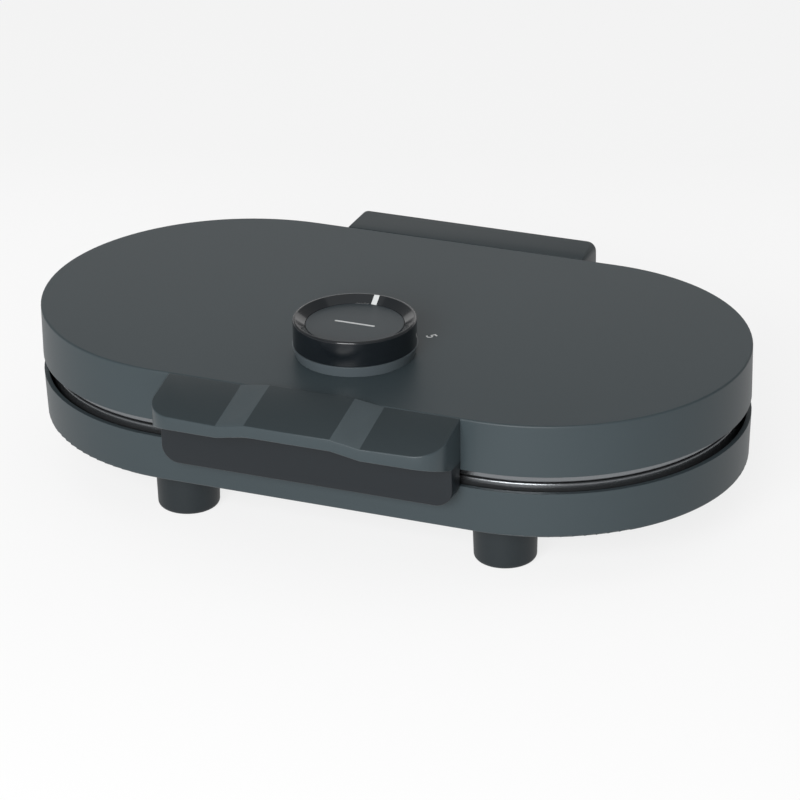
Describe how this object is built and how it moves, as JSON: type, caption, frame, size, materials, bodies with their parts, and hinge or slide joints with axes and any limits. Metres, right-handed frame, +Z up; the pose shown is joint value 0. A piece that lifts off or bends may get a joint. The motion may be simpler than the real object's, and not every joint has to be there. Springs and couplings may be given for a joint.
{
  "type": "double waffle maker",
  "caption": "Stadium-shaped waffle maker for two round waffles side by side, with a hinged lid, front lift handle, heat dial and tall feet.",
  "frame": {"origin": "middle of the whole footprint, handle and hinge included, at the level of the table", "axes": "+X to the right of someone at the handle, +Y towards the hinge, +Z up"},
  "size_m": [0.39, 0.268, 0.1137],
  "materials": {
    "casing_grey": "satin slate grey moulded plastic",
    "foot_grey": "matte dark grey moulded plastic",
    "plate_coating": "cast with a dark non-stick coating",
    "zinc_steel": "zinc plated",
    "heater_steel": "drawn tube, heat tinted",
    "reflector_aluminium": "bright sheet",
    "pad_rubber": "matte",
    "dial_black": "polished black",
    "cap_grey": "satin dark grey",
    "mark_silver": "light grey inlay",
    "gland_black": "matte black",
    "block_white": "off-white moulded",
    "thermostat_ceramic": "unglazed",
    "fuse_silver": "satin"
  },
  "bodies": {
    "base": {"lower_casing": "casing_grey", "lower_waffle_plate": "plate_coating", "lower_plate_screws": "zinc_steel", "lower_heater_left": "heater_steel", "lower_heater_right": "heater_steel", "lower_reflector": "reflector_aluminium", "foot_front_left": "foot_grey", "foot_front_right": "foot_grey", "foot_rear_left": "foot_grey", "foot_rear_right": "foot_grey", "foot_pads": "pad_rubber", "foot_screws": "zinc_steel", "hinge_bracket": "casing_grey", "hinge_bracket_screws": "zinc_steel", "cord_gland": "gland_black", "cord_gland_nut": "gland_black", "terminal_block": "block_white", "terminal_block_screws": "zinc_steel", "thermal_fuse": "fuse_silver"},
    "lid": {"upper_casing": "casing_grey", "upper_waffle_plate": "plate_coating", "upper_plate_screws": "zinc_steel", "upper_heater_left": "heater_steel", "upper_heater_right": "heater_steel", "upper_reflector": "reflector_aluminium", "front_handle": "casing_grey", "handle_screws": "zinc_steel", "rear_hinge_cover": "casing_grey", "rear_cover_screws": "zinc_steel", "hinge_pins": "zinc_steel", "thermostat_body": "thermostat_ceramic", "thermostat_bracket": "zinc_steel", "thermostat_screws": "zinc_steel", "dial_collar": "casing_grey"},
    "dial": {"dial_ring": "dial_black", "dial_cap": "cap_grey", "dial_bar": "mark_silver", "dial_pointer": "mark_silver", "thermostat_shaft": "zinc_steel"}
  },
  "joints": [
    {"name": "lid_hinge", "type": "hinge", "parent": "base", "child": "lid", "pos_m": [0, 0.125, 0.066], "axis": [-1, 0, 0], "range_deg": [0, 95]},
    {"name": "dial_turn", "type": "hinge", "parent": "lid", "child": "dial", "pos_m": [0, -0.043, 0.1], "axis": [0, 0, 1], "range_deg": [-42, 62]}
  ]
}
